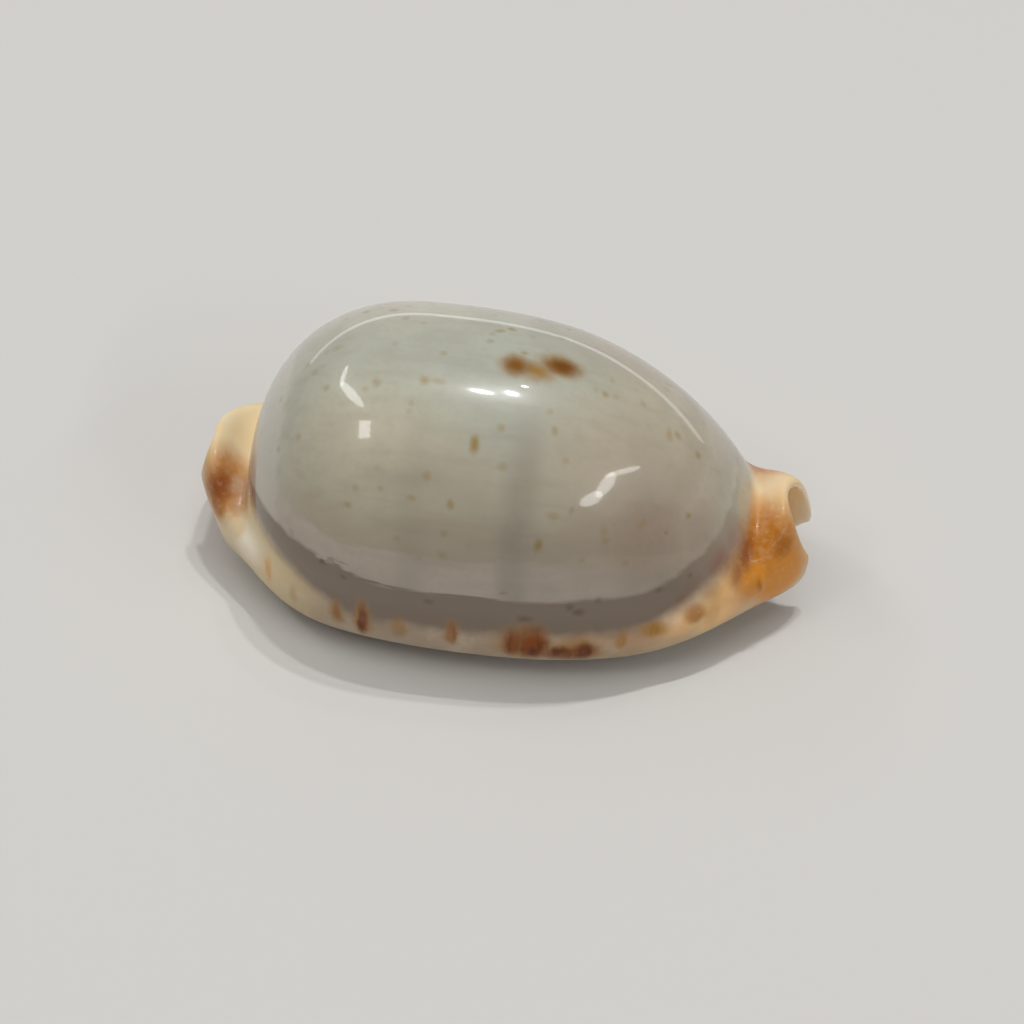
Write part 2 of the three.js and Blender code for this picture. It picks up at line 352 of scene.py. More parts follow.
# Clouding: waves per millimetre, detail, noise where it starts and is full, and its shares there. Then
# the lines that the tears draw, the streaks of the rim spots, and the small flecks between the specks.
BACK_CLOUDS = (0.35, 4.0, 0.4, 0.75, 0.0, 0.22)
BACK_GRAIN = (3.0, 4.0, 0.45, 0.7, 0.0, 0.2)
CALLUS_CLOUDS = (0.55, 3.0, 0.42, 0.7, 0.0, 0.4)
CALLUS_GRAIN = (4.5, 4.0, 0.5, 0.72, 0.0, 0.1)
END_MOTTLE = (2.4, 4.0, 0.35, 0.6, 0.88, 1.0)
BACK_LINES = (-0.05, 0.25, 0.0, 0.16)
STREAKS = SimpleNamespace(waves=(1.7, 0.8, 0.6), edges=(-0.1, 0.12), least_gold=0.75)
FLECKS = SimpleNamespace(size=(0.27, 0.05, 0.0, 0.28), chosen=(0.5, 0.9))

# Relief of the glaze: waves per millimetre and detail. Then the share of light that soaks into the inner
# face, and how deep it soaks into the outer and the inner one.
RIPPLE_NOISE = (0.7, 2.0)
GRAIN_NOISE = (5.0, 2.0)
INSIDE_TRANSLUCENCE = 0.8
SOAK = SimpleNamespace(outside=1.0, inside=2.0)


def srgb(red, green, blue):
    """A colour given as display bytes, as the linear values that a shader takes."""
    display = np.array([red, green, blue]) / 255.0
    linear = np.where(display <= 0.04045, display / 12.92, ((display + 0.055) / 1.055) ** 2.4)
    return tuple(float(value) for value in linear)


def length_property(name, description, millimetres):
    """A length that a user may change, stored in metres."""
    default = millimetres * MM
    return FloatProperty(name=name, description=description, default=default, unit="LENGTH", precision=5)


def colour_property(name, description, red, green, blue):
    """A colour that a user may change."""
    options = {"default": srgb(red, green, blue), "subtype": "COLOR", "min": 0, "max": 1}
    return FloatVectorProperty(name=name, description=description, **options)


def angle_property(name, description, degrees):
    """An angle that a user may change."""
    return FloatProperty(name=name, description=description, default=math.radians(degrees), subtype="ANGLE")


def share_property(name, description, share):
    """A share from 0 to 1 that a user may change."""
    options = {"default": share, "subtype": "FACTOR", "min": 0, "max": 1}
    return FloatProperty(name=name, description=description, **options)


def light_property(name, description, strength):
    """A strength of light that a user may change."""
    return FloatProperty(name=name, description=description, default=strength, min=0)


def count_property(name, description, count, fewest, most):
    """A whole number that a user may change."""
    return IntProperty(name=name, description=description, default=count, min=fewest, max=most)


class CowrieShape(bpy.types.PropertyGroup):
    """Sizes of the shell."""

    half_width: length_property("Half width", "Widest half of the back, from the middle plane", 7.65)
    height: length_property("Height", "Height of the back over the surface it lies on", 12.95)
    wall: length_property("Wall", "Thickness of the wall over the back", 1.0)
    base_wall: length_property("Lip wall", "Thickness of the base on the outer lip's side", 1.9)
    whorl_wall: length_property("Columella wall", "Thickness of the base on the columella's side", 2.6)
    slit_half: length_property("Slit half width", "Half of the slit's width at its posterior end", 0.5)
    tooth_depth: length_property("Tooth depth", "Depth of the grooves between the teeth", 0.32)
    crease_blend: length_property("Crease blend", "Softness of the crease between back and callus", 1.5)
    teeth: count_property("Teeth", "Teeth on each lip", 15, 4, 40)
    row_detail: count_property("Row detail", "Grid rows for each base row", 4, 1, 5)
    columns: count_property("Columns", "Grid columns over one face", 150, 20, 160)


class CowrieGlaze(bpy.types.PropertyGroup):
    """Colours and gloss of the shell, with painted light and shade among the colours."""

    crown: colour_property("Crown", "Cool grey on top of the back", 169, 171, 157)
    flank: colour_property("Flank", "Warmer grey half way down the back", 170, 163, 144)
    dusk: colour_property("Dusk", "Deeper grey under the flank", 164, 152, 133)
    # The mauve band low on the back is a painted reflection of the lit floor.
    floor_reflection: colour_property("Low flank", "Mauve grey low on the back", 182, 168, 153)
    # The deep grey at the foot is painted shade: the dark reflection of the shaded floor next to the shell.
    foot: colour_property("Foot", "Deep grey where the back meets the callus", 128, 111, 94)
    # The pale grey round the posterior end is a painted reflection of the lit floor.
    end_reflection: colour_property("Pale end", "Pale grey round the posterior end of the back", 190, 184, 170)
    # The pale warm patches are painted light, a soft sheen where the back faces the lamps.
    painted_sheen: colour_property("Glow", "Pale warm patches on the back", 196, 186, 160)
    blush: colour_property("Blush", "Pinkish grey patches on the back", 154, 135, 118)
    band: colour_property("Cross band", "Grey of the faint cross bands", 132, 124, 111)
    dark_speck: colour_property("Dark speck", "Olive brown of the specks on the foot", 92, 66, 16)
    speck: colour_property("Speck", "Golden brown of the specks", 138, 108, 8)
    stain: colour_property("Back stain", "Golden edge of the blotch on the back", 144, 102, 8)
    blotch: colour_property("Back blotch", "Brown core of the blotch on the back", 108, 62, 0)
    cream: colour_property("Callus", "Cream of the callus at the two ends", 222, 200, 156)
    # The sand is the callus's own pinkish tone, darkened in part as painted shade where the sides face down
    # and out.
    shaded_sand: colour_property("Sand", "Pinkish sand of the callus along the sides", 180, 158, 134)
    pale: colour_property("Pale callus", "Palest parts of the callus and base", 222, 208, 186)
    apricot: colour_property("Apricot", "Apricot of the callus near its anterior end", 216, 154, 84)
    peach: colour_property("Peach", "Pale peach low on the anterior callus", 252, 200, 138)
    orange: colour_property("Orange", "Orange at the two ends", 172, 105, 26)
    # The amber is the end's orange, lightened in part as painted light where the underside faces down.
    lit_amber: colour_property("Amber", "Lighter orange under the anterior end", 222, 144, 44)
    gold: colour_property("Gold", "Gold of the lighter callus spots", 168, 116, 20)
    brown: colour_property("Brown", "Brown of the callus spots", 138, 70, 0)
    dark_brown: colour_property("Dark brown", "Dark streaks in the brown spots", 100, 42, 0)
    end_brown: colour_property("End brown", "Reddish brown at the two ends", 130, 64, 20)
    lilac: colour_property("Lilac", "Lilac white patches on the callus", 240, 228, 204)
    tooth_stain: colour_property("Tooth stain", "Orange stain between the teeth", 206, 150, 92)
    inside: colour_property("Inside", "Inner face of the shell", 255, 213, 190)
    roughness: share_property("Roughness", "Roughness under the glaze", 0.26)
    callus_roughness: share_property("Callus roughness", "Roughness of the waxy callus", 0.34)
    coat: share_property("Glaze", "Weight of the glaze on the back", 0.7)
    callus_coat: share_property("Callus glaze", "Weight of the glaze on the callus", 0.1)
    translucence: share_property("Translucence", "Share of light that soaks into the outer face", 0.04)
    ripple: length_property("Ripple", "Height of the faint ripples in the glaze", 0.012)
    grain: length_property("Grain", "Height of the fine grain of the callus", 0.006)


class CowrieStage(bpy.types.PropertyGroup):
    """Camera, floor and lights."""

    azimuth: angle_property("Azimuth", "Direction of the camera round the shell, 0 looking along +Y", 4.2)
    elevation: angle_property("Elevation", "Height of the camera over the horizon", 46.0)
    roll: angle_property("Roll", "Turn of the picture, negative lowering its right end", -2.8)
    distance: length_property("Distance", "Camera to the point it is set round", 135.0)
    lens: FloatProperty(name="Lens", description="Focal length", default=102.8, unit="CAMERA")
    floor: colour_property("Floor", "Colour of the floor", 200, 198, 194)
    floor_size: length_property("Floor size", "Side of the floor", 2400.0)
    surround: light_property("Surround", "Strength of the light from all round", 0.22)
    key: light_property("Key", "Watts per square metre of the lamps overhead", 2000.0)
    soft: light_property("Soft", "Watts per square metre of the soft box", 5.6)
    strip: light_property("Strips", "Watts per square metre of the side strips", 26.0)
    rear: light_property("Rear", "Watts per square metre of the low strip behind", 6.0)


def ease(start, stop, x):
    """Smooth step: 0 at start, 1 at stop, level at both, as 3t squared less 2t cubed."""
    t = np.clip((x - start) / (stop - start), 0.0, 1.0)
    return t * t * (3.0 - 2.0 * t)


def blend(a, b, t):
    """The point t of the way from a to b."""
    return a + (b - a) * t


def bell(offset, spread):
    """A bell of height 1 in the middle: e to the power of minus the square of offset over spread."""
    return np.exp(-((offset / spread) ** 2))


def axis_at(x):
    """Height and side of the hollow's axis: level in the middle, eased to its places at the two ends."""
    back = ease(*AXIS_BEND.posterior, x)
    front = ease(*AXIS_BEND.anterior, x)
    y = blend(blend(AXIS_Y.middle, AXIS_Y.posterior, back), AXIS_Y.anterior, front)
    z = blend(AXIS_Z.middle, AXIS_Z.end, back + front)
    return y, z


def fullness(x, widest, curve):
    """How full an oval is at a station: 1 at its widest, 0 at its ends, by a superellipse on each side."""
    start, stop = curve.ends
    behind = x < widest
    t = np.where(behind, (widest - x) / (widest - start), (x - widest) / (stop - widest))
    along = np.where(behind, curve.posterior[0], curve.anterior[0])
    across = np.where(behind, curve.posterior[1], curve.anterior[1])
    left = np.maximum(1.0 - np.clip(t, 0.0, 1.0) ** along, 1e-9)
    return left ** (1.0 / across)


def sided_fullness(x, y, widest, curve):
    """Fullness eased from the lip side's widest station to the columella side's as y goes across."""
    across = ease(*LIP_TO_COLUMELLA, y)
    return blend(fullness(x, widest.lip, curve), fullness(x, widest.columella, curve), across)


def dome(form, x, y, z):
    """The back: 1 less the elliptic radius of (y, z) at that station, times its smaller half size.

    It is cut off under the callus, and lowered past its ends so that it has no tail there.
    """
    width = form.half_width * sided_fullness(x, y, DOME_WIDEST, DOME_WIDTH_CURVE)
    crest = fullness(x, DOME_CROWN_X, DOME_CREST_CURVE)
    middle = axis_at(x)[1] + (DOME_MIDDLE_Z - AXIS_Z.middle) * crest
    up = (form.height - DOME_MIDDLE_Z) * crest
    down = (DOME_MIDDLE_Z - DOME_LOW_Z) * crest
    out = np.hypot(y / width, (z - middle) / np.where(z > middle, up, down))
    past = np.maximum(np.maximum(x - DOME_ENDS[1], DOME_ENDS[0] - x), 0.0)
    return np.minimum((1.0 - out) * np.minimum(width, up), z - DOME_FLOOR_Z) - DOME_DROP * past


def callus(form, x, y, z):
    """The rim and canals: 1 less a superelliptic radius of (y, z), times half their height."""
    back = ease(*CANAL_START.posterior, x)
    front = ease(*CANAL_START.anterior, x)
    canal = np.maximum(back, front)
    side = y - axis_at(x)[0] * canal
    full = sided_fullness(x, side, CALLUS_WIDEST, CALLUS_CURVE)
    width = (form.half_width + CALLUS_PROUD) * full + ANTERIOR_CANAL.flare * ease(*CANAL_FLARE, x)
    middle = blend(CALLUS_Z.middle, CANAL_MIDDLE_Z, canal)
    back_rise = POSTERIOR_CANAL.rise * ease(*CANAL_RISE.posterior, x)
    front_rise = ANTERIOR_CANAL.rise * ease(*CANAL_RISE.anterior, x)
    back_top = (POSTERIOR_CANAL.roof - CALLUS_Z.top) * back + back_rise
    front_top = (ANTERIOR_CANAL.roof - CALLUS_Z.top) * front + front_rise
    top = CALLUS_Z.top + back_top + front_top
    back_low = (POSTERIOR_CANAL.under - CALLUS_Z.low) * back
    front_low = (ANTERIOR_CANAL.under - CALLUS_Z.low) * front
    low = CALLUS_Z.low + back_low + front_low
    above = z > middle
    power = np.where(above, CALLUS_POWER.above, CALLUS_POWER.below)
    rise = np.abs(z - middle) / np.where(above, top - middle, middle - low)
    out = ((np.abs(side) / width) ** power + rise**power) ** (1.0 / power)
    return (1.0 - out) * (top - low) / 2.0


def body(form, x, y, z):
    """Back and callus joined: the larger of the two, plus a cubic fillet where they are nearly equal."""
    a = dome(form, x, y, z)
    b = callus(form, x, y, z)
    near = np.maximum(form.crease_blend - np.abs(a - b), 0.0) / form.crease_blend
    return np.maximum(a, b) + near**3 * form.crease_blend / 6.0


def reach(form, x, angle, depth):
    """Distance from the axis, along an angle, at which the body is that deep, found by halving."""
    y, z = axis_at(x)
    near = np.full(np.shape(x), SEARCH_RANGE[0])
    far = np.full(np.shape(x), SEARCH_RANGE[1])
    for _ in range(SEARCH_STEPS):
        r = (near + far) / 2.0
        inside = body(form, x, y + r * np.sin(angle), z + r * np.cos(angle)) > depth
        near = np.where(inside, r, near)
        far = np.where(inside, far, r)
    return (near + far) / 2.0


def station_rows(form):
    """Stations from rim to rim: cosine spaced on the flange, squared up the steep end of the back,
    even along the teeth and sine spaced out to the anterior rim."""

    def steps(rows):
        count = rows * form.row_detail
        return np.arange(count) / count

    flange = blend(POSTERIOR_RIM, DOME_ENDS[0], (1.0 - np.cos(np.pi * steps(FLANGE_ROWS))) / 2.0)
    steep = blend(DOME_ENDS[0], TEETH_ENDS[0], steps(STEEP_ROWS) ** 2)
    toothed = blend(TEETH_ENDS[0], TEETH_ENDS[1], steps(ROWS_PER_TOOTH * form.teeth))
    spout = blend(TEETH_ENDS[1], ANTERIOR_RIM, np.sin(np.pi / 2.0 * steps(SPOUT_ROWS)))
    return np.concatenate([flange, steep, toothed, spout, [ANTERIOR_RIM]])


def along_rim(x, angle):
    """Stations moved near the rims: a bell-shaped notch over each canal, bells out for the lobes beside
    the anterior one, and corners eased back beside the slit."""
    deg = np.degrees(angle)
    spread = np.where(deg < 0.0, ANTERIOR_NOTCH.lip_side, ANTERIOR_NOTCH.columella_side)
    notch = ANTERIOR_NOTCH.depth * bell(deg, spread)
    lip_lobe = LIP_LOBE.length * bell(deg - LIP_LOBE.angle, LIP_LOBE.spread)
    columella_lobe = COLUMELLA_LOBE.length * bell(deg - COLUMELLA_LOBE.angle, COLUMELLA_LOBE.spread)
    lip_corner = CORNER.lip * ease(*CORNER_ANGLES.lip, deg)
    columella_corner = CORNER.columella * ease(*CORNER_ANGLES.columella, deg)
    front = lip_lobe + columella_lobe - notch - (lip_corner + columella_corner)
    back_corner = CORNER.posterior * ease(*CORNER_ANGLES.posterior, np.abs(deg))
    back = POSTERIOR_NOTCH.depth * ease(*POSTERIOR_NOTCH.angles, deg) + back_corner
    return x + front * ease(*RIM_REACH.anterior, x) + back * ease(*RIM_REACH.posterior, x)


def quarter_round(distance, radius):
    """A quarter circle: 0 at an edge, 1 once a radius away from it."""
    q = 1.0 - np.clip(distance / radius, 0.0, 1.0)
    return np.sqrt(1.0 - q * q)


def groove_at(form, x, angle):
    """Grooves between the teeth: a raised cosine along X, half a step apart on the two lips."""
    start, stop = TEETH_ENDS
    turn = 2.0 * np.pi * form.teeth * (x - start) / (stop - start)
    within = ease(start, start + TEETH_FADE, x) * ease(stop, stop - TEETH_FADE, x)
    return np.where(angle < 0.0, 0.5 - 0.5 * np.cos(turn), 0.5 + 0.5 * np.cos(turn)) * within


def wall_depth(form, x, angle):
    """Depth of the inner face: thin over the back, thick beside the slit, thin again in the canals."""
    under = ease(*BASE_ANGLES, np.abs(np.degrees(angle)))
    base = np.where(angle > 0.0, form.whorl_wall, form.base_wall)
    canal = np.maximum(ease(*CANAL_THINNING.posterior, x), ease(*CANAL_THINNING.anterior, x))
    canal_wall = np.where(x < 0.0, CANAL_WALL.posterior, CANAL_WALL.anterior)
    return blend(blend(form.wall, base, under), canal_wall, canal)


def shell_sheet(form):
    """Outer and inner face of the wall on a grid of stations by angles.

    From the axis at each station, each face lies along the angle at the distance where the body has the
    face's depth. Near the lips and rims both close on the middle of the wall by a quarter circle, the
    grooves between the teeth are cut into the outer face, and the base is flat where it would pass z = 0.
    """
    station = station_rows(form)[:, None]
    s = np.linspace(0.0, 1.0, form.columns + 1)[None, :]
    crowded = s - LIP_CROWDING * np.sin(2.0 * np.pi * s) / (2.0 * np.pi)

    mouth = ease(*SLIT_MOUTH.anterior, station) + ease(*SLIT_MOUTH.posterior, station)
    widening = SLIT_WIDENING.width * ease(*SLIT_WIDENING.stations, station)
    slit = form.slit_half + widening + SLIT_MOUTH.width * mouth
    edge = np.arctan2(slit, axis_at(station)[1] - LIP_Z)
    plain = blend(edge - np.pi, np.pi - edge, crowded)
    groove = groove_at(form, station, plain)
    bite = TOOTH_BITE.angle * groove
    angle = plain - np.sign(plain) * bite * ease(TOOTH_BITE.reach, 0.0, np.pi - np.abs(plain) - edge)

    x = along_rim(np.broadcast_to(station, angle.shape), angle)
    axis_y, axis_z = axis_at(x)
    outside = reach(form, x, angle, 0.0)
    inside = np.minimum(reach(form, x, angle, wall_depth(form, x, angle)), outside - THINNEST)
    middle = (outside + inside) / 2.0
    from_lip = (np.pi - np.abs(angle) - edge - bite) * middle
    posterior_round = quarter_round(station - POSTERIOR_RIM, RIM_ROUND.posterior)
    anterior_round = quarter_round(ANTERIOR_RIM - station, RIM_ROUND.anterior)
    swell = quarter_round(from_lip, LIP_ROUND) * posterior_round * anterior_round
    lip_cut = ease(*TOOTH_REACH.lip, from_lip)
    columella_cut = ease(*TOOTH_REACH.columella, from_lip)
    cut = groove * np.where(angle < 0.0, lip_cut, columella_cut)

    def face(r):
        return np.stack([x, axis_y + r * np.sin(angle), axis_z + r * np.cos(angle)], axis=-1)

    outer = face(middle + (outside - middle - form.tooth_depth * cut) * swell)
    outer[..., 2] = np.maximum(outer[..., 2], 0.0)
    inner = face(middle + (inside - middle) * swell)
    margin = callus(form, *np.moveaxis(outer, -1, 0)) - dome(form, *np.moveaxis(outer, -1, 0))
    under = ease(*PALE_BASE_ANGLES, np.abs(np.degrees(angle)))
    return outer, inner, {"margin": margin, "groove": cut, "under": under}


def close_sheet(outer, inner):
    """Points, quads and the place of each point in the ring of a row.

    A row is one ring: the outer face from columella to lip, then the inner face back, sharing both lips.
    In the two end rows the inner points are the outer ones, so the rims are closed too.
    """
    rows, across = outer.shape[:2]
    last = across - 1
    ring = np.concatenate([outer[:, ::-1], inner[:, 1:-1]], axis=1)
    index = np.arange(rows * 2 * last).reshape(rows, 2 * last)
    for end in (0, -1):
        index[end, last + 1 :] = index[end, last - 1 : 0 : -1]
    right = np.roll(index, -1, axis=1)
    quads = np.stack([index[:-1], right[:-1], right[1:], index[1:]], axis=-1).reshape(-1, 4)
    used, packed = np.unique(quads, return_inverse=True)
    return ring.reshape(-1, 3)[used], packed.reshape(-1, 4), used


def ring_values(outer_values, inner_value):
    """One value for each point of the rings that close_sheet makes, before it drops unused points."""
    rows, across = outer_values.shape
    inner_values = np.full((rows, across - 2), inner_value)
    return np.concatenate([outer_values[:, ::-1], inner_values], axis=1).ravel()


def surface_points(form, shift, marks):
    """Centres of markings on the outer face, from their stations and angles."""
    marks = np.array(marks, dtype=float)
    x = marks[:, 0]
    angle = np.radians(marks[:, 1])
    y, z = axis_at(x)
    r = reach(form, x, angle, 0.0)
    return np.stack([x, y + r * np.sin(angle), z + r * np.cos(angle)], axis=-1) + shift


def far_marks():
    """Specks and rim spots for the columella side, from one seeded generator."""
    rng = np.random.default_rng(SEED)
    stations = rng.uniform(*FAR_SPECKS.stations, FAR_SPECKS.count)
    angles = rng.uniform(*FAR_SPECKS.angles, FAR_SPECKS.count)
    halves = rng.uniform(*FAR_SPECKS.halves, (FAR_SPECKS.count, 2))
    strengths = rng.uniform(*FAR_SPECKS.strengths, FAR_SPECKS.count)
    specks = np.column_stack([stations, angles, halves, strengths])
    stations = rng.uniform(*FAR_SPOTS.stations, FAR_SPOTS.count)
    angles = rng.uniform(*FAR_SPOTS.angles, FAR_SPOTS.count)
    along = blend(*FAR_SPOTS.along, rng.uniform(0.0, 1.0, FAR_SPOTS.count) ** 2)
    around = rng.uniform(*FAR_SPOTS.around, FAR_SPOTS.count)
    strengths = rng.uniform(*FAR_SPOTS.strengths, FAR_SPOTS.count)
    spots = np.column_stack([stations, angles, along, around, strengths])
    return specks.tolist(), spots.tolist()


def form_of(shape):
    """The shape properties, with their lengths in millimetres."""
    values = {name: getattr(shape, name) for name in shape.__annotations__}
    return SimpleNamespace(**{name: v if isinstance(v, int) else v / MM for name, v in values.items()})


def shell_mesh(form):
    """The closed wall as a mesh in metres, and the shift that sets it in the middle of the frame's box."""
    outer, inner, values = shell_sheet(form)
    points, quads, used = close_sheet(outer, inner)
    low, high = points.min(axis=0), points.max(axis=0)
    node_low, node_high = (np.array(corner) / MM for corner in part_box("shell"))
    shift = (node_low + node_high) / 2.0 - (low + high) / 2.0
    shift[2] = node_low[2] - low[2]

    mesh = bpy.data.meshes.new("cowrie_shell")
    mesh.from_pydata(((points + shift) * MM).tolist(), [], quads.tolist())
    mesh.polygons.foreach_set("use_smooth", np.ones(len(quads), dtype=bool))
    on_inner_face = {"margin": 1.0, "groove": 0.0, "under": 0.0}
    attributes = {name: ring_values(value, on_inner_face[name]) for name, value in values.items()}
    attributes["inside"] = ring_values(np.zeros(outer.shape[:2]), 1.0)
    for name, value in attributes.items():
        layer = mesh.attributes.new(name, "FLOAT", "POINT")
        layer.data.foreach_set("value", value[used].astype(np.float32))
    mesh.update()
    return mesh, shift


def add_node(tree, kind, inputs=None, **settings):
    """A node with its settings, each input given a value or linked to a socket."""
    node = tree.nodes.new(kind)
    for name, value in settings.items():
        setattr(node, name, value)
    for name, value in (inputs or {}).items():
        if isinstance(value, bpy.types.NodeSocket):
            tree.links.new(value, node.inputs[name])
        else:
            node.inputs[name].default_value = value
    return node


def math_node(tree, operation, a, b):
    """One sum, product or the like of two values."""
    return add_node(tree, "ShaderNodeMath", {0: a, 1: b}, operation=operation).outputs[0]


def plus(tree, a, b):
    """The sum of two values."""
    return math_node(tree, "ADD", a, b)


def times(tree, a, b):
    """The product of two values."""
    return math_node(tree, "MULTIPLY", a, b)


def vector_node(tree, operation, a, b):
    """One sum, product or the like of two vectors, part by part."""
    return add_node(tree, "ShaderNodeVectorMath", {0: a, 1: b}, operation=operation).outputs[0]


def smooth_range(tree, value, start, stop, low=0.0, high=1.0):
    """A smooth step of a value from low at start to high at stop."""
    inputs = {"Value": value, "From Min": start, "From Max": stop, "To Min": low, "To Max": high}
    return add_node(tree, "ShaderNodeMapRange", inputs, interpolation_type="SMOOTHSTEP").outputs["Result"]


def paint(tree, under, colour, mask):
    """Colour laid over what is under it where the mask is 1."""
    node = add_node(tree, "ShaderNodeMix", data_type="RGBA", blend_type="MIX")
    for socket, value in ((node.inputs[0], mask), (node.inputs[6], under), (node.inputs[7], colour)):
        if isinstance(value, bpy.types.NodeSocket):
            tree.links.new(value, socket)
        elif isinstance(value, float):
            socket.default_value = value
        else:
            socket.default_value = (*value, 1.0)
    return node.outputs[2]


def mark_group():
    """Node group for one marking: 1 in its middle, fading out over its edge, 0 outside, as an ellipsoid."""
    group = bpy.data.node_groups.new("shell_mark", "ShaderNodeTree")
    for name in ("Place", "Centre", "Halves"):
        group.interface.new_socket(name=name, in_out="INPUT", socket_type="NodeSocketVector")
    for name in ("Core", "Strength"):
        group.interface.new_socket(name=name, in_out="INPUT", socket_type="NodeSocketFloat")
    group.interface.new_socket(name="Mask", in_out="OUTPUT", socket_type="NodeSocketFloat")
    given = group.nodes.new("NodeGroupInput").outputs
    away = vector_node(group, "SUBTRACT", given["Place"], given["Centre"])
    scaled = vector_node(group, "DIVIDE", away, given["Halves"])
    radius = add_node(group, "ShaderNodeVectorMath", {0: scaled}, operation="LENGTH").outputs["Value"]
    result = times(group, smooth_range(group, radius, MARK_EDGE, given["Core"]), given["Strength"])
    add_node(group, "NodeGroupOutput", {"Mask": result})
    return group


def mark_mask(tree, group, place, form, shift, marks, core):
    """The strongest of several markings at each place, each full up to the core share of its size."""
    centres = surface_points(form, shift, marks)
    mask = 0.0
    for centre, (_, _, along, around, strength) in zip(centres.tolist(), marks):
        given = {"Place": place, "Centre": centre, "Halves": (along, around, around)}
        given.update({"Core": core, "Strength": strength})
        node = add_node(tree, "ShaderNodeGroup", given, node_tree=group)
        mask = math_node(tree, "MAXIMUM", mask, node.outputs["Mask"])
    return mask


def attribute(tree, name):
    """A value stored with the mesh."""
    return add_node(tree, "ShaderNodeAttribute", attribute_name=name).outputs["Fac"]


def noise(tree, place, scale, detail):
    """Soft noise, with scale in waves per millimetre."""
    inputs = {"Vector": place, "Scale": scale, "Detail": detail}
    return add_node(tree, "ShaderNodeTexNoise", inputs).outputs


def clouding(tree, place, waves, detail, *zone):
    """Soft noise made a mask, by where it starts and is full."""
    return smooth_range(tree, noise(tree, place, waves, detail)["Fac"], *zone)


def wavering(tree, place, waves, detail=3.0):
    """Soft noise about 0, with its own waves per millimetre along X, Y and Z."""
    drawn = add_node(tree, "ShaderNodeMapping", {"Vector": place, "Scale": waves}).outputs[0]
    return math_node(tree, "SUBTRACT", noise(tree, drawn, 1.0, detail)["Fac"], 0.5)


class Layers:
    """Colours of the glaze, laid over one another in a node tree."""

    def __init__(self, tree, glaze, ground):
        self.tree = tree
        self.glaze = glaze
        self.colour = ground

    def lay(self, name, mask, *others):
        """Lay one of the glaze's colours over the rest, by the product of its masks."""
        for other in others:
            mask = times(self.tree, mask, other)
        self.colour = paint(self.tree, self.colour, getattr(self.glaze, name), mask)


def back_colour(tree, glaze, marks, place, split, margin, edge):
    """The grey back, deepening towards its foot, whose deep grey is painted shade; painted reflections of
    the floor low down and round the posterior end, painted sheen, blush, cross bands, clouding, specks and
    the blotch.
    """
    specks, _ = far_marks()
    x = split["X"]
    tears = wavering(tree, place, TEARS.waves)
    slivers = wavering(tree, place, SLIVERS.waves)
    for fade in SLIVERS.fades:
        slivers = times(tree, slivers, smooth_range(tree, x, *fade))

    def torn(value, by_tears, by_slivers):
        return plus(tree, plus(tree, value, times(tree, tears, by_tears)), times(tree, slivers, by_slivers))

    layers = Layers(tree, glaze, glaze.crown)
    layers.lay("flank", smooth_range(tree, margin, *FLANK.margins), smooth_range(tree, x, *FLANK.stations))
    torn_margin = torn(margin, TEARS.low_ramp, SLIVERS.low_ramp)
    # The deeper grey, then a band of painted reflection of the lit floor low on the back.
    for name, margins, behind in LOW_RAMP:
        ends = [smooth_range(tree, x, *stations) for stations in (behind, LOW_RAMP_FRONT)]
        layers.lay(name, smooth_range(tree, torn_margin, *margins), *ends)
    # Painted light: a soft sheen where the back faces the lamps.
    layers.lay("painted_sheen", marks(BACK_PAINTED_SHEEN))
    layers.lay("dusk", marks(BACK_DUSK))
    layers.lay("blush", marks(BACK_BLUSH))

    sway = times(tree, wavering(tree, place, BAND_SWAY.waves, BAND_SWAY.detail), BAND_SWAY.reach)
    swayed = plus(tree, x, sway)
    sides = smooth_range(tree, math_node(tree, "ABSOLUTE", split["Y"], 0.0), *BAND_SIDES)
    for station, half, strength in CROSS_BANDS:
        away = math_node(tree, "ABSOLUTE", math_node(tree, "SUBTRACT", swayed, station), 0.0)
        layers.lay("band", smooth_range(tree, away, half, BAND_CORE * half, 0.0, strength), sides)
    layers.lay("band", clouding(tree, place, *BACK_CLOUDS))
    layers.lay("band", smooth_range(tree, tears, *BACK_LINES))
    layers.lay("dusk", clouding(tree, place, *BACK_GRAIN))

    # Painted reflection of the lit floor round the posterior end, with a torn inner edge.
    ragged_x = plus(tree, x, times(tree, tears, TEARS.pale_end))
    layers.lay("end_reflection", smooth_range(tree, ragged_x, *END_REFLECTION))
    # Painted shade at the foot: the dark reflection of the shaded floor next to the shell.
    climb = times(tree, smooth_range(tree, x, *FOOT_SHADE_CLIMB.start), smooth_range(tree, x, *FOOT_SHADE_CLIMB.stop))
    foot = plus(tree, torn(edge, TEARS.foot, SLIVERS.foot), climb)
    layers.lay("foot", smooth_range(tree, foot, *FOOT_SHADE.margins), smooth_range(tree, x, *FOOT_SHADE.front))
    layers.lay("end_brown", marks(FOOT_RUST))

    cells = add_node(tree, "ShaderNodeTexVoronoi", {"Vector": place, "Scale": 1.0}).outputs
    draw = add_node(tree, "ShaderNodeSeparateColor", {0: cells["Color"]}).outputs[0]
    chosen = smooth_range(tree, draw, *FLECKS.chosen)
    layers.lay("speck", smooth_range(tree, cells["Distance"], *FLECKS.size), chosen)
    layers.lay("speck", marks(BACK_SPECKS + specks, core=0.0))
    layers.lay("dark_speck", marks(FOOT_SPECKS, core=0.0))
    layers.lay("stain", marks(BACK_STAIN, core=0.0))
    layers.lay("blotch", marks(BACK_BLOTCH, core=0.1))
    return layers.colour


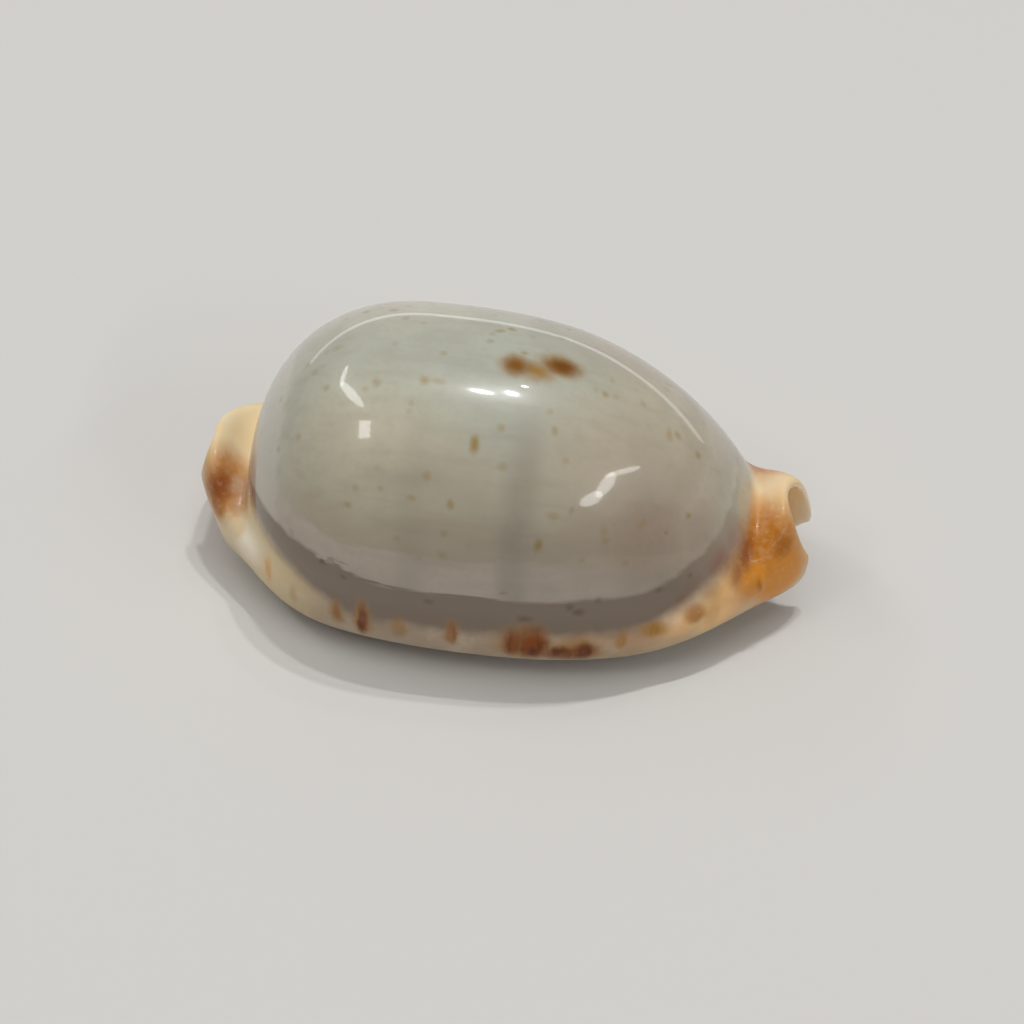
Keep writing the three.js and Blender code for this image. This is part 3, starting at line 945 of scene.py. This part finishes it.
def callus_colour(tree, glaze, marks, place, from_middle):
    """The callus, sand along the sides, partly painted shade, and cream at the ends: pale clouding, then
    the ends' markings, among them a lighter amber that is partly painted light.
    """
    # The sand along the sides is partly painted shade.
    layers = Layers(tree, glaze, glaze.shaded_sand)
    layers.lay("cream", smooth_range(tree, from_middle, *CREAM_ENDS))
    layers.lay("pale", clouding(tree, place, *CALLUS_CLOUDS))
    layers.lay("apricot", marks(END_APRICOT))
    layers.lay("peach", marks(END_PEACH))
    layers.lay("orange", marks(END_ORANGE, core=0.4), clouding(tree, place, *END_MOTTLE))
    # Lighter amber under the anterior end, partly painted light.
    layers.lay("lit_amber", marks(END_LIT_AMBER, core=0.4))
    layers.lay("end_brown", marks(END_BROWN))
    layers.lay("lilac", marks(CALLUS_LILAC))
    layers.lay("pale", clouding(tree, place, *CALLUS_GRAIN))
    return layers.colour


def rim_spots(tree, glaze, marks, place, from_middle, colour):
    """Gold and streaky brown spots over the edge of the callus, then the pale base and stained teeth."""
    _, spots = far_marks()
    streaks = smooth_range(tree, wavering(tree, place, STREAKS.waves), *STREAKS.edges)
    uneven = smooth_range(tree, streaks, 0.0, 1.0, STREAKS.least_gold, 1.0)
    brown = marks(CALLUS_BROWN + spots, core=0.35)
    layers = Layers(tree, glaze, colour)
    layers.lay("gold", marks(CALLUS_GOLD, core=0.3), uneven)
    layers.lay("brown", brown)
    layers.lay("dark_brown", brown, streaks)
    layers.lay("pale", attribute(tree, "under"), smooth_range(tree, from_middle, *PALE_BASE))
    layers.lay("tooth_stain", times(tree, attribute(tree, "groove"), TOOTH_STAIN))
    return layers.colour


def callus_mask(tree, x, margin):
    """1 on the callus, 0 on the back: a smooth step of the margin, whose ends drop towards both canals."""
    behind = smooth_range(tree, x, -DROP_RANGE[0], -DROP_RANGE[1])
    ahead = smooth_range(tree, x, *DROP_RANGE)
    ends = []
    for level, posterior, anterior in zip(CALLUS_EDGE, POSTERIOR_DROP, ANTERIOR_DROP):
        drop = plus(tree, times(tree, behind, posterior), times(tree, ahead, anterior))
        ends.append(math_node(tree, "SUBTRACT", level, drop))
    return smooth_range(tree, margin, *ends)


def glaze_material(glaze, form, shift):
    """Porcelain-like glaze over the grey back, the cream callus and the inner face."""
    material = bpy.data.materials.new("shell_glaze")
    material.use_nodes = True
    tree = material.node_tree
    shader = tree.nodes["Principled BSDF"]
    group = mark_group()

    metres = tree.nodes.new("ShaderNodeTexCoord").outputs["Object"]
    in_millimetres = {"Vector": metres, "Scale": (1.0 / MM, 1.0 / MM, 1.0 / MM)}
    place = add_node(tree, "ShaderNodeMapping", in_millimetres).outputs[0]
    split = add_node(tree, "ShaderNodeSeparateXYZ", {0: place}).outputs
    from_middle = math_node(tree, "ABSOLUTE", split["X"], 0.0)
    aside = vector_node(tree, "SUBTRACT", noise(tree, place, *MARK_NOISE)["Color"], (0.5, 0.5, 0.5))
    warped = vector_node(tree, "ADD", place, vector_node(tree, "MULTIPLY", aside, MARK_WANDER))

    def marks(listed, core=0.15):
        return mark_mask(tree, group, warped, form, shift, listed, core)

    crease = attribute(tree, "margin")
    ragged = wavering(tree, place, RAGGED.waves, RAGGED.detail)
    margin = plus(tree, crease, times(tree, ragged, RAGGED.callus))
    edge = plus(tree, crease, times(tree, ragged, RAGGED.foot))
    back = back_colour(tree, glaze, marks, place, split, margin, edge)
    rim = callus_colour(tree, glaze, marks, place, from_middle)
    waxy = callus_mask(tree, split["X"], margin)
    inside = attribute(tree, "inside")
    colour = rim_spots(tree, glaze, marks, place, from_middle, paint(tree, back, rim, waxy))

    ripple = times(tree, noise(tree, place, *RIPPLE_NOISE)["Fac"], glaze.ripple)
    grain = times(tree, noise(tree, place, *GRAIN_NOISE)["Fac"], glaze.grain)
    height = plus(tree, ripple, times(tree, grain, waxy))
    bump = add_node(tree, "ShaderNodeBump", {"Height": height, "Strength": 1.0, "Distance": 1.0})
    linked = {
        "Base Color": paint(tree, colour, glaze.inside, inside),
        "Normal": bump.outputs["Normal"],
        "Roughness": smooth_range(tree, waxy, 0.0, 1.0, glaze.roughness, glaze.callus_roughness),
        "Coat Weight": smooth_range(tree, waxy, 0.0, 1.0, glaze.coat, glaze.callus_coat),
        "Subsurface Weight": smooth_range(tree, inside, 0.0, 1.0, glaze.translucence, INSIDE_TRANSLUCENCE),
        "Subsurface Scale": smooth_range(tree, inside, 0.0, 1.0, SOAK.outside * MM, SOAK.inside * MM),
    }
    for name, value in linked.items():
        tree.links.new(value, shader.inputs[name])
    shader.inputs["Specular IOR Level"].default_value = 0.2
    shader.inputs["Coat Roughness"].default_value = 0.055
    shader.inputs["Subsurface Radius"].default_value = (1.0, 0.65, 0.4)
    return material


class COWRIE_OT_shell(bpy.types.Operator):
    """Build the shell as one closed glazed surface in place of its plain solid"""

    bl_idname = "cowrie.shell"
    bl_label = "Shell"

    def execute(self, context):
        form = form_of(context.scene.cowrie_shape)
        mesh, shift = shell_mesh(form)
        mesh.materials.append(glaze_material(context.scene.cowrie_glaze, form, shift))
        shell = bpy.data.objects.new("cowrie_shell", mesh)
        context.collection.objects.link(shell)
        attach(shell, "root")
        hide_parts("shell")
        return {"FINISHED"}


# Where the camera is set round, where the middle of the picture falls from there, its sensor and nearest
# view, the middle that the lights are set round, and how far the floor is under the shell, in millimetres.
LOOK_POINT = Vector((-0.08, 0.0, 5.0))
PICTURE_MIDDLE = (0.32, -1.47)
SENSOR_WIDTH = 36.0
NEAREST_VIEW = 1.0
LIGHT_MIDDLE = Vector((0.0, 0.0, 6.0))
FLOOR_GAP = 0.01

# Lights: direction from the shell, which way their first side runs, distance and two sides in metres,
# which of the stage's brightnesses they take, and whether the glaze mirrors them. All but the panes are
# elliptical, so that their mirror images taper.
PANES = ("soft_box", "left_pane", "rear_strip")
LIGHTS = {
    "key_left": ((0.035, 0.23, 0.97), (1.0, 0.0, 0.0), 0.6, (0.038, 0.012), "key", True),
    "key_right": ((0.14, 0.275, 0.95), (1.0, 0.6, 0.0), 0.6, (0.02, 0.02), "key", True),
    "key_dot": ((0.18, 0.4, 0.9), (1.0, 0.0, 0.0), 0.6, (0.008, 0.008), "key", True),
    "soft_box": ((-0.1, -0.05, 1.0), (1.0, 0.0, 0.0), 0.9, (0.8, 0.6), "soft", False),
    "left_top": ((-0.68, 0.4, 0.6), (-0.06, -0.19, 0.05), 0.5, (0.14, 0.024), "strip", True),
    "left_bend": ((-0.64, 0.13, 0.72), (0.15, -0.38, 0.19), 0.5, (0.24, 0.046), "strip", True),
    "left_pane": ((-0.55, -0.32, 0.76), (0.0, -0.19, -0.08), 0.5, (0.1, 0.06), "strip", True),
    "right_low": ((0.59, -0.56, 0.57), (0.09, 0.15, 0.05), 0.5, (0.14, 0.044), "strip", True),
    "right_middle": ((0.68, -0.35, 0.63), (0.08, 0.27, 0.06), 0.5, (0.19, 0.038), "strip", True),
    "right_high": ((0.76, -0.1, 0.63), (0.09, 0.23, -0.08), 0.5, (0.2, 0.018), "strip", True),
    "rear_strip": ((0.0, 1.0, 0.05), (1.0, 0.0, 0.0), 1.2, (2.4, 0.09), "rear", True),
}


def facing(direction, sideways):
    """Turn of a lamp or camera whose -Z looks against a direction, with its X near sideways."""
    back = Vector(direction).normalized()
    up = back.cross(Vector(sideways)).normalized()
    right = up.cross(back)
    return Matrix((right, up, back)).transposed().to_4x4()


def add_lights(context, stage):
    """Area lamps round the shell, and an even pale surround."""
    middle = LIGHT_MIDDLE * MM
    for name, (direction, sideways, distance, sides, brightness, mirrored) in LIGHTS.items():
        lamp = bpy.data.lights.new(name, "AREA")
        lamp.shape, fill = ("RECTANGLE", 1.0) if name in PANES else ("ELLIPSE", np.pi / 4.0)
        lamp.size, lamp.size_y = sides
        lamp.energy = getattr(stage, brightness) * lamp.size * lamp.size_y * fill
        light = bpy.data.objects.new(name, lamp)
        away = Vector(direction).normalized() * distance
        light.matrix_world = Matrix.Translation(middle + away) @ facing(direction, sideways)
        light.visible_camera = False
        light.visible_glossy = mirrored
        context.collection.objects.link(light)
    world = bpy.data.worlds.new("surround")
    world.use_nodes = True
    background = world.node_tree.nodes["Background"]
    background.inputs["Color"].default_value = (1.0, 1.0, 1.0, 1.0)
    background.inputs["Strength"].default_value = stage.surround
    context.scene.world = world


def add_floor(context, stage):
    """A flat square just under the shell, with a matt pale finish."""
    corners = np.array([(-1, -1, 0), (1, -1, 0), (1, 1, 0), (-1, 1, 0)]) * stage.floor_size / 2.0
    corners[:, 2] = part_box("shell")[0][2] - FLOOR_GAP * MM
    mesh = bpy.data.meshes.new("floor")
    mesh.from_pydata(corners.tolist(), [], [(0, 1, 2, 3)])
    material = bpy.data.materials.new("floor_matt")
    material.use_nodes = True
    shader = material.node_tree.nodes["Principled BSDF"]
    shader.inputs["Base Color"].default_value = (*stage.floor, 1.0)
    shader.inputs["Roughness"].default_value = 0.7
    mesh.materials.append(material)
    floor = bpy.data.objects.new("floor", mesh)
    context.collection.objects.link(floor)


def add_camera(context, stage):
    """A camera round the look point, rolled, and aimed so that the look point falls off the middle."""
    across = Vector((math.cos(stage.azimuth), math.sin(stage.azimuth), 0.0))
    flat = math.cos(stage.elevation)
    aside = math.sin(stage.azimuth) * flat
    near = math.cos(stage.azimuth) * flat
    back = Vector((aside, -near, math.sin(stage.elevation)))
    up = back.cross(across)
    right = across * math.cos(stage.roll) - up * math.sin(stage.roll)
    top = across * math.sin(stage.roll) + up * math.cos(stage.roll)
    look = LOOK_POINT * MM
    eye = look + back * stage.distance
    aim = look + (right * PICTURE_MIDDLE[0] + top * PICTURE_MIDDLE[1]) * MM
    camera = bpy.data.cameras.new("camera")
    camera.lens = stage.lens
    camera.sensor_width = SENSOR_WIDTH
    camera.clip_start = NEAREST_VIEW * MM
    holder = bpy.data.objects.new("camera", camera)
    holder.matrix_world = Matrix.Translation(eye) @ facing(eye - aim, right)
    context.collection.objects.link(holder)
    context.scene.camera = holder


class COWRIE_OT_stage(bpy.types.Operator):
    """Set up the floor, the lights and the camera"""

    bl_idname = "cowrie.stage"
    bl_label = "Stage"

    def execute(self, context):
        stage = context.scene.cowrie_stage
        add_floor(context, stage)
        add_lights(context, stage)
        add_camera(context, stage)
        context.scene.view_settings.view_transform = "Standard"
        return {"FINISHED"}


class COWRIE_PT_sidebar(bpy.types.Panel):
    """Sizes, colours and stage of the cowrie shell"""

    bl_idname = "COWRIE_PT_sidebar"
    bl_label = "Cowrie"
    bl_space_type = "VIEW_3D"
    bl_region_type = "UI"
    bl_category = "Cowrie"

    def draw(self, context):
        for group in (context.scene.cowrie_shape, context.scene.cowrie_glaze, context.scene.cowrie_stage):
            column = self.layout.column()
            for name in group.__annotations__:
                column.prop(group, name)
        for operator in (COWRIE_OT_shell, COWRIE_OT_stage):
            self.layout.operator(operator.bl_idname)


CLASSES = (CowrieShape, CowrieGlaze, CowrieStage, COWRIE_OT_shell, COWRIE_OT_stage, COWRIE_PT_sidebar)


def register():
    for cls in CLASSES:
        bpy.utils.register_class(cls)
    bpy.types.Scene.cowrie_shape = PointerProperty(type=CowrieShape)
    bpy.types.Scene.cowrie_glaze = PointerProperty(type=CowrieGlaze)
    bpy.types.Scene.cowrie_stage = PointerProperty(type=CowrieStage)


def unregister():
    del bpy.types.Scene.cowrie_stage
    del bpy.types.Scene.cowrie_glaze
    del bpy.types.Scene.cowrie_shape
    for cls in reversed(CLASSES):
        bpy.utils.unregister_class(cls)


def main():
    register()
    bpy.ops.cowrie.shell()
    bpy.ops.cowrie.stage()


if __name__ == "__main__":
    main()
